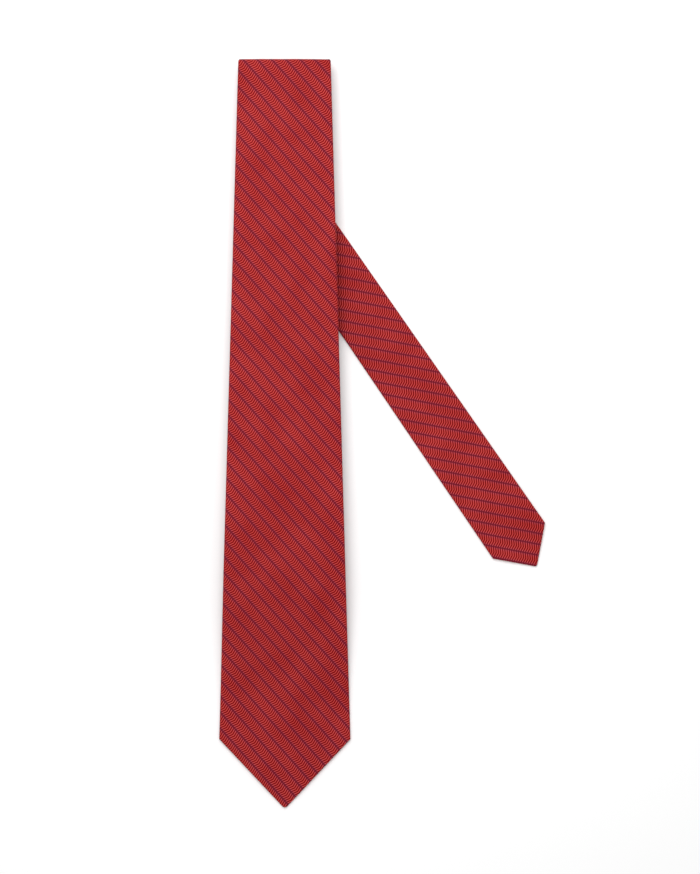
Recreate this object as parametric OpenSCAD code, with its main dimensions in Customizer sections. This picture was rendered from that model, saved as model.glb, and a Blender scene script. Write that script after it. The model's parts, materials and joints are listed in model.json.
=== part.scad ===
// Folded necktie, lying flat with its face up.
//
// The tie is one long flat tube of silk round a wool interlining.  It is folded in a stack of five
// runs, each one cloth gap above the last:
//   run 5  the tail, on the floor, face up      run 4  the crossover, face down
//   run 3  the lower neck run, face up          run 2  the upper neck run, face down
//   run 1  the blade, on top, face up; past the stack it comes down to the floor
// The runs are joined by four folds: tail_fold (5 and 4), inner_fold (4 and 3),
// lower_fold (3 and 2) and top_fold (2 and 1).  Each fold is two quarter bends, one on each run,
// and its hinge line is the outermost line of the bend.
//
// Depth b is measured from the back of the cloth tube (0) to its face (tie_t).
// Distance s is measured along the tie from the blade's tip.
// Inside this file the middle of the top fold is at x = 0, y = 0; place() moves the whole tie so
// that the origin is the middle of its bounding box, on the floor.

/* [Blade] */
// Width of the blade at its shoulders
blade_w = 85; // [75:1:95]
// Length of the blade from the top fold to its tip
blade_len = 483.5; // [470:0.5:500]
// Width of the tie at the top fold
fold_w = 59.6; // [54:0.2:66]
// Half of the angle of the blade's point
blade_tip_angle = 43.2; // [40:0.2:50]
// Radius of the blade's point
blade_tip_r = 2.3; // [1:0.1:4]

/* [Tail] */
// Width of the tail at its shoulders
tail_w = 41; // [36:1:44]
// Width of the tail at its crease
tail_crease_w = 37.2; // [34:0.2:40]
// Length of the tail from its crease to its tip
tail_len = 287.6; // [270:0.2:310]
// Angle between the tail and the blade
tail_angle = 34.48; // [32:0.02:38]
// Distance from the top fold down to the middle of the tail's crease
crease_drop = 90; // [88:1:100]
// Half of the angle of the tail's point
tail_tip_angle = 45; // [42:0.5:50]
// Radius of the tail's point
tail_tip_r = 1.8; // [1:0.1:3]

/* [Neck] */
// Length of the whole tie
total_len = 1480; // [1460:10:1500]
// Width of the neck where it is narrowest
neck_w = 32; // [30:1:36]
// Distance from the blade's tip to the narrowest part of the neck
neck_s = 945; // [930:5:960]
// Distance from the blade's tip to the seam between the blade and the neck
blade_seam_s = 650; // [630:5:670]
// Distance from the blade's tip to the seam between the neck and the tail
tail_seam_s = 1010; // [1000:5:1030]

/* [Cloth] */
// Thickness of the flattened tie
tie_t = 2.4; // [2.4:0.1:2.8]
// Thickness of the silk
silk_t = 0.4; // [0.3:0.05:0.4]
// Thickness of the wool interlining
wool_t = 0.8; // [0.6:0.1:0.8]
// Gap between two runs of the stack
run_gap = 0.6; // [0.6:0.1:1]
// Length over which the blade comes down from the stack to the floor
ramp_len = 110; // [90:5:115]

/* [Back] */
// Width of the silk turned under at the blade's point
blade_hem = 12; // [8:1:15]
// Distance from the blade's tip to where its back edges meet
blade_back_s = 100; // [90:1:108]
// Width of the silk turned under at the tail's point
tail_hem = 7; // [5:1:9]
// Distance from the tail's tip to where its back edges meet
tail_back_s = 58; // [50:1:66]
// Distance from the blade's tip to the middle of the keeper loop
keeper_s = 147; // [144:1:150]
// Length of the keeper loop, across the blade
keeper_w = 48; // [44:1:56]
// Height of the space in the keeper loop
keeper_gap = 3; // [2.8:0.1:3.4]

/* [Hidden] */
SILK = [0.65, 0.19, 0.21];
SATIN = [0.50, 0.10, 0.13];
WOOL = [0.86, 0.83, 0.74];
THREAD = [0.42, 0.07, 0.10];
PAPER_WHITE = [0.93, 0.92, 0.89];

air = 0.05;                      // between two layers of one run
cut_past = 0.2;                  // how far a cutter reaches past a face
fold_open = 0.15;                // each bend stops this far short of its fold's middle plane
bend_in = run_gap / 2;           // radius of the inside of a fold
bend_out = bend_in + tie_t;      // radius of the outside of a fold
pitch = tie_t + run_gap;         // from one run to the next
floor_z = [4, 3, 2, 1, 0] * pitch;  // underside of runs 1 to 5
bend_steps = 6;
ramp_steps = 12;

inner_fold_drop = 4;             // the inner fold lies this far below the top fold
cross_len = crease_drop - inner_fold_drop;
lower_fold_drop = (total_len - blade_len - cross_len - tail_len + inner_fold_drop) / 2;
lower_fold_s = blade_len + lower_fold_drop;
inner_fold_s = lower_fold_s + lower_fold_drop - inner_fold_drop;
crease_s = inner_fold_s + cross_len;
ramp_top = -lower_fold_drop - 5;

blade_shoulder_s = shoulder_from_tip(blade_w, blade_tip_angle, blade_tip_r);
tail_shoulder_s = total_len - shoulder_from_tip(tail_w, tail_tip_angle, tail_tip_r);

stitch_len = 7;
stitch_pitch = 12;
stitch_w = 0.6;
slit_w = 1;
tack_w = 8;
tack_l = 1.2;
keeper_l = 10;
keeper_tab = 6;
keeper_t = 0.8;
label_w = 22;
label_l = 16;
label_t = 0.25;
seam_w = 12;
seam_t = 0.3;
tipping_t = 0.3;
far = 700;                       // longer than any run
column_low = -20;                // below all of the tie
column_high = 40;                // above all of the tie
bend_lead = 0.5;                 // how far a profile follows a bend's first facet past the bend
past_crease = 75;                // the crease crosses less of the tie than this, each way

tail_reach = tail_len - (total_len - tail_shoulder_s);
tail_right = tail_reach * sin(tail_angle) + tail_w / 2 * cos(tail_angle);
middle_x = (tail_right - blade_w / 2) / 2;
middle_y = -blade_len / 2;

// ---- Widths and lengths ----

// How far the shoulders are from a rounded point's tip
function shoulder_from_tip(w, angle, r) = w / 2 / tan(angle) - point_loss(angle, r);

// How much shorter rounding makes a point
function point_loss(angle, r) = r / sin(angle) - r;

// The straight taper from half width wa at a to wb at b
function taper(s, a, wa, b, wb) = wa + (wb - wa) * (s - a) / (b - a);

// Half the tie's width at s
function half_w(s) =
  s < blade_len ? taper(s, blade_shoulder_s, blade_w / 2, blade_len, fold_w / 2)
  : s < neck_s ? taper(s, blade_len, fold_w / 2, neck_s, neck_w / 2)
  : s < crease_s ? taper(s, neck_s, neck_w / 2, crease_s, tail_crease_w / 2)
  : taper(s, crease_s, tail_crease_w / 2, tail_shoulder_s, tail_w / 2);

// ---- Side profiles ----

// A quarter bend that ends a run at y = end, at height h in the run.
// side is 1 at the run's +Y end and -1 at its -Y end; upper is true on the fold's upper run.
// The points go from the flat of the run to the fold's middle plane.
function bend(end, side, upper, z, h, stop) =
  let (r = bend_in + (upper ? h : tie_t - h),
       mid_z = upper ? z - bend_in : z + tie_t + bend_in,
       up = upper ? 1 : -1,
       last = asin(min(1, stop / r)))
  [for (i = [0 : bend_steps])
    let (a = 90 + (last - 90) * i / bend_steps)
    [end - side * (bend_out - r * cos(a)), mid_z + up * r * sin(a)]];

function reversed(list) = [for (i = [len(list) - 1 : -1 : 0]) list[i]];

// Height of the blade's underside at y
function blade_z(y) =
  let (f = max(0, min(1, (ramp_top - y) / ramp_len)))
  floor_z[0] * (1 + cos(180 * f)) / 2;

// The line at height h along each run, from its -Y end to its +Y end
function line_1(h, stop) = concat(
  [[-blade_len - 1, h]],
  [for (i = [ramp_steps : -1 : 0]) let (y = ramp_top - ramp_len * i / ramp_steps) [y, blade_z(y) + h]],
  bend(0, 1, true, floor_z[0], h, stop));
function line_2(h, stop) = concat(
  reversed(bend(-lower_fold_drop, -1, true, floor_z[1], h, stop)),
  bend(0, 1, false, floor_z[1], h, stop));
function line_3(h, stop) = concat(
  reversed(bend(-lower_fold_drop, -1, false, floor_z[2], h, stop)),
  bend(-inner_fold_drop, 1, true, floor_z[2], h, stop));

function line(run, h, stop) =
  run == 1 ? line_1(h, stop) : run == 2 ? line_2(h, stop) : line_3(h, stop);

// Height in the run of depth b: runs 2 and 4 lie face down
function height(run, b) = run % 2 == 0 ? tie_t - b : b;

// ---- Layers ----

// Extrudes a side profile, drawn as [y, z], along X
module along_x() rotate([90, 0, 90]) linear_extrude(height = far, center = true) children();

// The crease's own axes: +X away from the crease over the tail, Y along the crease
module at_crease() translate([0, -crease_drop, 0]) rotate([0, 0, tail_angle / 2]) children();

// Extrudes a profile, drawn as [distance from the crease, z], along the crease
module along_crease()
  at_crease() rotate([90, 0, 0]) linear_extrude(height = far, center = true) children();

// The tail's own axes: -Y along the tail, from the middle of its crease to its tip
module at_tail() translate([0, -crease_drop, 0]) rotate([0, 0, tail_angle]) children();

// A column over a plan
module column() translate([0, 0, column_low]) linear_extrude(height = column_high - column_low) children();

// One layer of a run, from depth b0 to b1, over the plan that is its child.
// stop is how far short of a fold's middle plane the layer ends.
module layer(run, b0, b1, stop = fold_open) {
  h0 = min(height(run, b0), height(run, b1));
  h1 = max(height(run, b0), height(run, b1));
  intersection() {
    if (run <= 3) along_x() polygon(concat(line(run, h0, stop), reversed(line(run, h1, stop))));
    else if (run == 4) crossover_bends(h0, h1, stop);
    else along_crease() polygon(concat(tail_line(h0, stop), reversed(tail_line(h1, stop))));
    column() children();
  }
}

// The tail's line at height h, from the crease's middle plane out past the tail
function tail_line(h, stop) = concat(
  reversed(bend(0, -1, false, floor_z[4], h, stop)),
  [[far, floor_z[4] + h]]);

// A point just before a bend, in line with the bend's first facet
function before(bend_points) =
  let (step = bend_points[0] - bend_points[1])
  bend_points[0] + step / norm(step) * bend_lead;

// The crossover's layer between heights h0 and h1, with both of its bends.
// Its flat has its underside from the crease's profile and its top from the inner fold's profile.
module crossover_bends(h0, h1, stop) {
  z = floor_z[3];
  crease_top = bend(0, -1, true, z, h1, stop);
  crease_base = bend(0, -1, true, z, h0, stop);
  fold_top = bend(-inner_fold_drop, 1, false, z, h1, stop);
  fold_base = bend(-inner_fold_drop, 1, false, z, h0, stop);
  above_crease = before(crease_top);
  below_fold = before(fold_base);
  intersection() {
    along_crease() polygon(concat(
      reversed(crease_top), [above_crease, [above_crease[0], column_high]],
      [[far, column_high], [far, z + h0]], crease_base));
    along_x() polygon(concat(
      reversed(fold_base), [below_fold, [below_fold[0], column_low]],
      [[-far, column_low], [-far, z + h1]], fold_top));
  }
}

// Moves the tie so that the origin is the middle of its box
module place() translate([-middle_x, -middle_y, 0]) children();

// ---- Plans ----

// The half plan of a point: its rounded tip at y = -len and its shoulder
function point_side(len, w, angle, r) = concat(
  [for (i = [0 : 4]) let (a = (90 - angle) * i / 4) [r * sin(a), r - len - r * cos(a)]],
  [[w / 2, -len + shoulder_from_tip(w, angle, r)]]);

function mirrored(list) = [for (p = reversed(list)) [-p[0], p[1]]];

// The plan of the blade
module blade_plan(inset = 0) {
  side = concat(point_side(blade_len, blade_w, blade_tip_angle, blade_tip_r),
                [[fold_w / 2, 0], [fold_w / 2, 1]]);
  inset_plan(inset) polygon(concat(side, mirrored(side)));
}

// The plan of a strip through points of [s, y]
module strip(points, inset = 0) {
  side = [for (p = points) [half_w(p[0]) - inset, p[1]]];
  polygon(concat(side, mirrored(side)));
}

module neck_plan_2(inset = 0)
  strip([[lower_fold_s, -lower_fold_drop], [blade_len, 0]], inset);

module neck_plan_3(inset = 0)
  strip([[lower_fold_s, -lower_fold_drop], [neck_s, neck_s - lower_fold_s - lower_fold_drop],
         [inner_fold_s, -inner_fold_drop]], inset);

// The crossover and the tail run past the crease here, and their layers end at it
module crossover_plan(inset = 0)
  strip([[crease_s + past_crease, -crease_drop - past_crease], [crease_s, -crease_drop],
         [inner_fold_s, -inner_fold_drop]], inset);

module tail_plan(inset = 0) {
  side = concat(point_side(tail_len, tail_w, tail_tip_angle, tail_tip_r),
                [[tail_crease_w / 2, 0], [half_w(crease_s - past_crease), past_crease]]);
  at_tail() inset_plan(inset) polygon(concat(side, mirrored(side)));
}

// Shrinks a pointed plan: its point draws back and its sides come in
module inset_plan(inset)
  if (inset == 0) children();
  else intersection_for(side = [[-inset, 0], [inset, 0], [0, inset]]) translate(side) children();

// The kite-shaped window on the back of a point: len, shoulder width, hem and back meeting point
module window(len, w, angle, hem, back_s, grow = 0) {
  low = hem / sin(angle) - grow * 1.5;
  wide = w / 2 - hem + grow;
  polygon([[0, low - len], [wide, low + wide / tan(angle) - len],
           [0, back_s + grow * 2 - len], [-wide, low + wide / tan(angle) - len]]);
}

module blade_window(grow = 0)
  window(blade_len, blade_w, blade_tip_angle, blade_hem, blade_back_s, grow);

module tail_window(grow = 0)
  at_tail() window(tail_len, tail_w, tail_tip_angle, tail_hem, tail_back_s, grow);

// A rectangle with its middle at [x, y]
module bar(x, y, w, l) translate([x, y]) square([w, l], center = true);

// The opening down the middle of the back, from y = low to y = high
module slit(low, high) translate([-slit_w / 2, low]) square([slit_w, high - low]);

// A row of stitches from y = low to y = high
module stitch_row(low, high)
  for (y = [low + stitch_pitch / 2 : stitch_pitch : high - stitch_pitch / 2])
    bar(0, y, stitch_w, stitch_len);

// One side of a seam that crosses the tie at 45 degrees, at [0, y]; side is 1 above it
module seam_side(y, side)
  translate([0, y]) rotate([0, 0, 45]) translate([-far / 2, side > 0 ? air : -far - air])
    square([far, far]);

// ---- Parts of a run ----

// The silk tube of a run: its children are the outer plan, the inner plan and the back's openings
module silk_tube(run)
  difference() {
    layer(run, 0, tie_t) children(0);
    layer(run, silk_t, tie_t - silk_t, 0) children(1);
    layer(run, -cut_past, silk_t + cut_past, 0) children(2);
  }

wool_b = silk_t + tipping_t + 2 * air;         // depth of the interlining's back
seam_b = wool_b + wool_t + air;                // depth of the seam allowances' back

module interlining(run) layer(run, wool_b, wool_b + wool_t) children();

module slip_stitches(run) layer(run, air, silk_t - air) children();

blade_seam_y = -(blade_seam_s - blade_len);
tail_seam_y = tail_seam_s - lower_fold_s - lower_fold_drop;
blade_tack_y = blade_back_s + 4 - blade_len;
tail_tack_y = tail_back_s + 3 - tail_len;
keeper_y = keeper_s - blade_len;
label_y = blade_back_s + 12 + label_l / 2 - blade_len;
crease_reach = 26;                             // how far above the crease the tail's back slit starts

// ---- Run 1: the blade ----

module blade_shell()
  color(SILK) place() silk_tube(1) {
    blade_plan();
    blade_plan(silk_t);
    union() {
      blade_window();
      slit(blade_back_s - blade_len - 4, 1);
      bar(0, blade_tack_y, tack_w, tack_l + 2 * air);
    }
  }

module blade_tipping()
  color(SATIN) place() layer(1, silk_t + air, silk_t + air + tipping_t)
    intersection() { blade_window(4); blade_plan(1); }

module blade_interlining() color(WOOL) place() interlining(1) blade_plan(1.5);

module blade_slip_stitch()
  color(THREAD) place() slip_stitches(1) stitch_row(blade_tack_y + tack_l, -bend_out);

module blade_bar_tack()
  color(THREAD) place() layer(1, air, silk_t - air) bar(0, blade_tack_y, tack_w - 2 * air, tack_l);

module keeper_loop() {
  tab_x = (keeper_w - keeper_tab) / 2;
  wall_x = keeper_w / 2 - keeper_tab - keeper_t / 2;
  low = -air - keeper_t - keeper_gap;
  color(SILK) place() {
    for (side = [-1, 1]) {
      layer(1, -air - keeper_t, -air) bar(side * (tab_x - air), keeper_y, keeper_tab + 2 * air, keeper_l);
      layer(1, low, -air) bar(side * wall_x, keeper_y, keeper_t, keeper_l);
    }
    layer(1, low, low + keeper_t) bar(0, keeper_y, 2 * wall_x + keeper_t, keeper_l);
  }
}

module keeper_tacks()
  color(THREAD) place() layer(1, -2 * air - keeper_t - 0.3, -2 * air - keeper_t)
    for (side = [-1, 1])
      bar(side * (keeper_w - keeper_tab) / 2, keeper_y, 1, keeper_l - 2);

module care_label()
  color(PAPER_WHITE) place() layer(1, -air - label_t, -air) bar(0, label_y, label_w, label_l);

// ---- Run 2: the upper neck run ----

module neck_2_openings() slit(-lower_fold_drop - 1, 1);

module rear_blade_shell()
  color(SILK) place() intersection() {
    silk_tube(2) { neck_plan_2(); neck_plan_2(silk_t); neck_2_openings(); }
    column() seam_side(blade_seam_y, 1);
  }

module front_neck_shell()
  color(SILK) place() intersection() {
    silk_tube(2) { neck_plan_2(); neck_plan_2(silk_t); neck_2_openings(); }
    column() seam_side(blade_seam_y, -1);
  }

// The allowances of a seam, pressed open inside the silk
module allowances(y) translate([0, y]) rotate([0, 0, 45]) square([far, seam_w], center = true);

module blade_neck_seam()
  color(SILK) place() layer(2, seam_b, seam_b + seam_t)
    intersection() { neck_plan_2(1); allowances(blade_seam_y); }

module upper_neck_interlining() color(WOOL) place() interlining(2) neck_plan_2(1.5);

module upper_neck_slip_stitch()
  color(THREAD) place() slip_stitches(2) stitch_row(-lower_fold_drop + bend_out, -bend_out);

// ---- Run 3: the lower neck run ----

module neck_3_openings() slit(-lower_fold_drop - 1, 1);

module rear_neck_shell()
  color(SILK) place() intersection() {
    silk_tube(3) { neck_plan_3(); neck_plan_3(silk_t); neck_3_openings(); }
    column() seam_side(tail_seam_y, -1);
  }

module upper_tail_shell()
  color(SILK) place() intersection() {
    silk_tube(3) { neck_plan_3(); neck_plan_3(silk_t); neck_3_openings(); }
    column() seam_side(tail_seam_y, 1);
  }

module neck_tail_seam()
  color(SILK) place() layer(3, seam_b, seam_b + seam_t)
    intersection() { neck_plan_3(1); allowances(tail_seam_y); }

module lower_neck_interlining() color(WOOL) place() interlining(3) neck_plan_3(1.5);

module lower_neck_slip_stitch()
  color(THREAD) place() slip_stitches(3)
    stitch_row(-lower_fold_drop + bend_out, -inner_fold_drop - bend_out);

// ---- Run 4: the crossover ----

module crossover_shell()
  color(SILK) place() silk_tube(4) {
    crossover_plan();
    crossover_plan(silk_t);
    slit(-crease_drop + crease_reach, 1);
  }

module crossover_interlining() color(WOOL) place() interlining(4) crossover_plan(1.5);

module crossover_slip_stitch()
  color(THREAD) place() slip_stitches(4)
    stitch_row(-crease_drop + crease_reach, -inner_fold_drop - bend_out);

// ---- Run 5: the tail ----

module tail_shell()
  color(SILK) place() silk_tube(5) {
    tail_plan();
    tail_plan(silk_t);
    union() {
      tail_window();
      at_tail() slit(tail_back_s - tail_len - 3, -crease_reach);
      at_tail() bar(0, tail_tack_y, tack_w, tack_l + 2 * air);
    }
  }

module tail_tipping()
  color(SATIN) place() layer(5, silk_t + air, silk_t + air + tipping_t)
    intersection() { tail_window(2.5); tail_plan(1); }

module tail_interlining() color(WOOL) place() interlining(5) tail_plan(1.5);

module tail_slip_stitch()
  color(THREAD) place() slip_stitches(5) at_tail() stitch_row(tail_tack_y + tack_l, -crease_reach);

module tail_bar_tack()
  color(THREAD) place() layer(5, air, silk_t - air)
    at_tail() bar(0, tail_tack_y, tack_w - 2 * air, tack_l);

blade_shell();
blade_tipping();
blade_interlining();
blade_slip_stitch();
blade_bar_tack();
keeper_loop();
keeper_tacks();
care_label();
rear_blade_shell();
blade_neck_seam();
front_neck_shell();
upper_neck_interlining();
upper_neck_slip_stitch();
rear_neck_shell();
neck_tail_seam();
upper_tail_shell();
lower_neck_interlining();
lower_neck_slip_stitch();
crossover_shell();
crossover_interlining();
crossover_slip_stitch();
tail_shell();
tail_tipping();
tail_interlining();
tail_slip_stitch();
tail_bar_tack();
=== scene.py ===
"""A folded silk necktie that lies face up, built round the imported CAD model.

The tie is one long flat tube of silk, folded in a stack of five runs:
  run 1 the blade, face up      run 2 the upper neck, face down   run 3 the lower neck, face up
  run 4 the crossover, face down   run 5 the tail, face up, on the floor
Lengths are in millimetres and become metres when a mesh is made.  The folds' own frame has x = 0,
y = 0 at the middle of the top fold.  In the cloth, u is the distance across the tie from its
middle, s the distance along it from the blade's tip, and b the depth, from the tie's back (0) to
its face (THICK).
"""
import json
import math

import bmesh
import bpy
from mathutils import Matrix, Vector, noise


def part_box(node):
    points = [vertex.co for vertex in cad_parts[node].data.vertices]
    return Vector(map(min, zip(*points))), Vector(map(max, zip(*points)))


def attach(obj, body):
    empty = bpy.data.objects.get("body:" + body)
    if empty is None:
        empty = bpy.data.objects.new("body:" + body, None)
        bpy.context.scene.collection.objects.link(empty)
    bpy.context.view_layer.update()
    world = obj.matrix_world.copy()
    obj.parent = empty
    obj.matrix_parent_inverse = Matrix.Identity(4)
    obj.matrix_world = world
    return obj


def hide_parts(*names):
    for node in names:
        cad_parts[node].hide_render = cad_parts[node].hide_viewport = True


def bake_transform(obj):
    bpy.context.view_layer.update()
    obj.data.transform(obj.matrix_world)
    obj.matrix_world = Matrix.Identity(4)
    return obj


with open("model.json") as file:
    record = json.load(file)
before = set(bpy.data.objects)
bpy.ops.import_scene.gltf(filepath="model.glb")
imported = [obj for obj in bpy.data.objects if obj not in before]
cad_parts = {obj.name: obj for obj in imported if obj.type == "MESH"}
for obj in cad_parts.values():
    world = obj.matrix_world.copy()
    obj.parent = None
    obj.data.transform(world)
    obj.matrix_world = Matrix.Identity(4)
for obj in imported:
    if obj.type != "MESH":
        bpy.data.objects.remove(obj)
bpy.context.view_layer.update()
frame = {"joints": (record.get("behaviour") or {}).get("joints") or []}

MM = 0.001


# ---- Sizes, from the frame where it has them ----

def hinge(name):
    """A fold's hinge point in millimetres and its axis."""
    joint = next(j for j in frame["joints"] if j["name"] == name)
    return [c / MM for c in joint["pos_m"]], joint["axis"]


def extent(node, axis):
    """A CAD node's lowest and highest coordinate along an axis, in millimetres."""
    low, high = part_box(node)
    return low[axis] / MM, high[axis] / MM


(ORIGIN_X, ORIGIN_Y, TOP_Z), _ = hinge("top_fold")
(_, LOWER_Y, LOWER_Z), _ = hinge("lower_fold")
(_, INNER_Y, INNER_Z), _ = hinge("inner_fold")
(_, CREASE_Y, CREASE_Z), CREASE_AXIS = hinge("tail_fold")
LOWER_Y, INNER_Y, CREASE_Y = (y - ORIGIN_Y for y in (LOWER_Y, INNER_Y, CREASE_Y))

PITCH = INNER_Z - CREASE_Z              # from one run to the next
GAP = 2 * (PITCH - CREASE_Z)            # between two runs
THICK = PITCH - GAP                     # thickness of the flattened tie
FLOOR = {run: (5 - run) * PITCH for run in range(1, 6)}
FACE_UP = {1: True, 2: False, 3: True, 4: False, 5: True}
BODIES = {1: "blade_run", 2: "upper_neck_run", 3: "lower_neck_run", 4: "crossover_run", 5: "tail_run"}
BEND_IN = GAP / 2                       # radius of the inside of a fold
BEND_OUT = BEND_IN + THICK              # radius of the outside of a fold

CREASE_ANGLE = math.atan2(CREASE_AXIS[0], -CREASE_AXIS[1])
CREASE_SIN, CREASE_COS = math.sin(CREASE_ANGLE), math.cos(CREASE_ANGLE)

BLADE_LEN = ORIGIN_Y - extent("blade_shell", 1)[0]
BLADE_W = extent("blade_shell", 0)[1] - extent("blade_shell", 0)[0]
FOLD_W = extent("rear_blade_shell", 0)[1] - extent("rear_blade_shell", 0)[0]
TAIL_LEN = 287.6                        # from the crease's middle to the tail's tip
TAIL_W = 41.0                           # the tail's width at its shoulders
TAIL_CREASE_W = 37.2                    # and at the crease
NECK_W = 32.0                           # the tie's width where it is narrowest
NECK_S = 945.0                          # and where that is
LOWER_S = BLADE_LEN - LOWER_Y
INNER_S = LOWER_S + INNER_Y - LOWER_Y
CREASE_S = INNER_S + INNER_Y - CREASE_Y
TOTAL_LEN = CREASE_S + TAIL_LEN
BLADE_SEAM_S = 650.0                    # the seam between the blade's panel and the neck's
TAIL_SEAM_S = 1010.0                    # the seam between the neck's panel and the tail's
RAMP_TOP = LOWER_Y - 5                  # the blade starts to come down to the floor here
RAMP_LEN = 110.0

# The tie's two pointed ends: width at the shoulders, half of the point's angle, radius of its tip,
# width of its hem, and how far the opening on its back reaches from the tip
POINTS = {
    "blade": dict(w=BLADE_W, angle=math.radians(43.2), r=2.3, hem=12.0, back=100.0),
    "tail": dict(w=TAIL_W, angle=math.radians(45.0), r=1.8, hem=7.0, back=58.0),
}

SILK = 0.35                             # thickness of the silk
EDGE_MOST = 0.9                         # an edge's largest radius, as a part of the half width
EDGE_LEAST = 0.05                       # the smallest radius that a skin turns on at an edge
LAP = 6.0                               # the left back edge goes this far under the right one
LAP_EDGE = 0.4                          # where the right back edge ends
LAP_DEPTH = 0.42                        # depth of the left back edge under the right one
LAP_SINK_FROM, LAP_SINK = 5.0, 5.2      # it sinks from here left of the middle, over this length
LAP_RUN = 9.0                           # length over which the two edges come together
FLAP_MOST = 0.9                         # a back edge ends at most this far out to the tie's edge
PRESSED_TIP, PRESSED_RUN = 0.62, 14.0   # a tip's thickness as a part of THICK, and back to full here
CROWN = 0.10                            # how far the face stands proud along its middle
UNEVEN = ((0.10, 16, 30, 0.5), (0.05, 5, 9, 4.5))   # height, size across and along, seed
UNEVEN_FADE = 4.0                       # how soon the unevenness dies away towards the edges
MITRE_HALF = 0.04                       # half of the gap where a point's two hems meet
WOOL_DEPTH = (0.8, 1.6)                 # where the layers inside the tie lie, as depths
TIPPING_DEPTH = (0.45, 0.75)
SEAM_DEPTH = (1.65, 1.95)
WOOL_INSET = 1.5                        # from the tie's edge to a layer's edge
SEAM_INSET = 1.0
SEAM_ALLOWANCE = 6.0                    # square to the seam, which runs at 45 degrees
PANEL_CUT = 0.2                         # from one panel's end to the next one's start
TIPPING_GROW = {"blade": 4, "tail": 2.5}   # how much larger the satin is than the opening
TIPPING_CLEAR = 0.3                     # from the opening's grown ends to the satin's ends
TIPPING_SPACING, SEAM_SPACING = 2.5, 1.5   # between their rows
WINDOW_GROW_LOW, WINDOW_GROW_HIGH = 1.5, 2   # an opening's ends move this much for each mm of growth
FOLD_REACH = 20.0                       # length of cloth in a fold piece, each side of the fold
INNER_REACH = 8.0                       # the same on the crossover's side of the inner fold
CREASE_REACH = 4.5                      # the same on each side of the crease
STRAIGHT = BEND_OUT + 0.5               # a run's flat part starts this far from a fold
CREASE_STRAIGHT = (BEND_OUT + 0.2) / CREASE_SIN
FAN_END = CREASE_S + 105                # the tail's rows fan out from the crease to here
FAN_NEXT = FAN_END + 4                  # and run straight across from here
SMALL = 1e-6                            # keeps the root in point_half above 0


def point_loss(p):
    """How much shorter rounding makes a point."""
    return p["r"] / math.sin(p["angle"]) - p["r"]


def shoulder(p):
    """Distance of a point's shoulders from its tip."""
    return p["w"] / 2 / math.tan(p["angle"]) - point_loss(p)


def point_half(p, d):
    """Half the width of a point at d from its tip."""
    if d < p["r"] * (1 - math.sin(p["angle"])):
        return math.sqrt(max(SMALL, p["r"] ** 2 - (p["r"] - d) ** 2))
    return (d + point_loss(p)) * math.tan(p["angle"])


def taper(s, a, wide_a, b, wide_b):
    """Half the width at s, where the width goes evenly from wide_a at a to wide_b at b."""
    return (wide_a + (wide_b - wide_a) * (s - a) / (b - a)) / 2


def half_width(s):
    """Half the tie's width at s."""
    blade_end, tail_end = shoulder(POINTS["blade"]), TOTAL_LEN - shoulder(POINTS["tail"])
    if s < blade_end:
        return point_half(POINTS["blade"], max(s, 0))
    if s < BLADE_LEN:
        return taper(s, blade_end, BLADE_W, BLADE_LEN, FOLD_W)
    if s < NECK_S:
        return taper(s, BLADE_LEN, FOLD_W, NECK_S, NECK_W)
    if s < CREASE_S:
        return taper(s, NECK_S, NECK_W, CREASE_S, TAIL_CREASE_W)
    if s < tail_end:
        return taper(s, CREASE_S, TAIL_CREASE_W, tail_end, TAIL_W)
    return point_half(POINTS["tail"], max(TOTAL_LEN - s, 0))


def window_ends(p, grow):
    """Where the opening on a point's back starts and ends; grow makes it larger."""
    return (p["hem"] / math.sin(p["angle"]) - grow * WINDOW_GROW_LOW,
            p["back"] + grow * WINDOW_GROW_HIGH)


def window_half(p, d, grow=0.0):
    """Half the width of the opening on a point's back, at d from its tip."""
    low, high = window_ends(p, grow)
    wide = p["w"] / 2 - p["hem"] + grow
    wide_at = low + wide / math.tan(p["angle"])
    if d <= low or d >= high:
        return 0.0
    if d < wide_at:
        return (d - low) * math.tan(p["angle"])
    return wide * (high - d) / (high - wide_at)


def nearest_end(s):
    """The point nearer to s, and the distance from its tip."""
    return ("blade", s) if s < TOTAL_LEN / 2 else ("tail", TOTAL_LEN - s)


def smooth(t):
    """A smooth step from 0 to 1."""
    t = max(0.0, min(1.0, t))
    return t * t * (3 - 2 * t)


def lerp(a, b, t):
    """From a at t = 0 to b at t = 1."""
    return a + (b - a) * t


# ---- Where the cloth lies ----

def blade_rise(y):
    """Height of the blade's back at y: on the stack, then down to the floor."""
    t = max(0.0, min(1.0, (RAMP_TOP - y) / RAMP_LEN))
    return FLOOR[1] * (1 + math.cos(math.pi * t)) / 2


def on_crease(p, q, z):
    """A point at distance p from the crease line and q along it."""
    return (p * CREASE_COS + q * CREASE_SIN, CREASE_Y + p * CREASE_SIN - q * CREASE_COS, z)


def on_tail(u, l, z):
    """A point on the tail at l from the crease's middle."""
    angle = 2 * CREASE_ANGLE
    return (-u * math.cos(angle) + l * math.sin(angle),
            CREASE_Y - u * math.sin(angle) - l * math.cos(angle), z)


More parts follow.
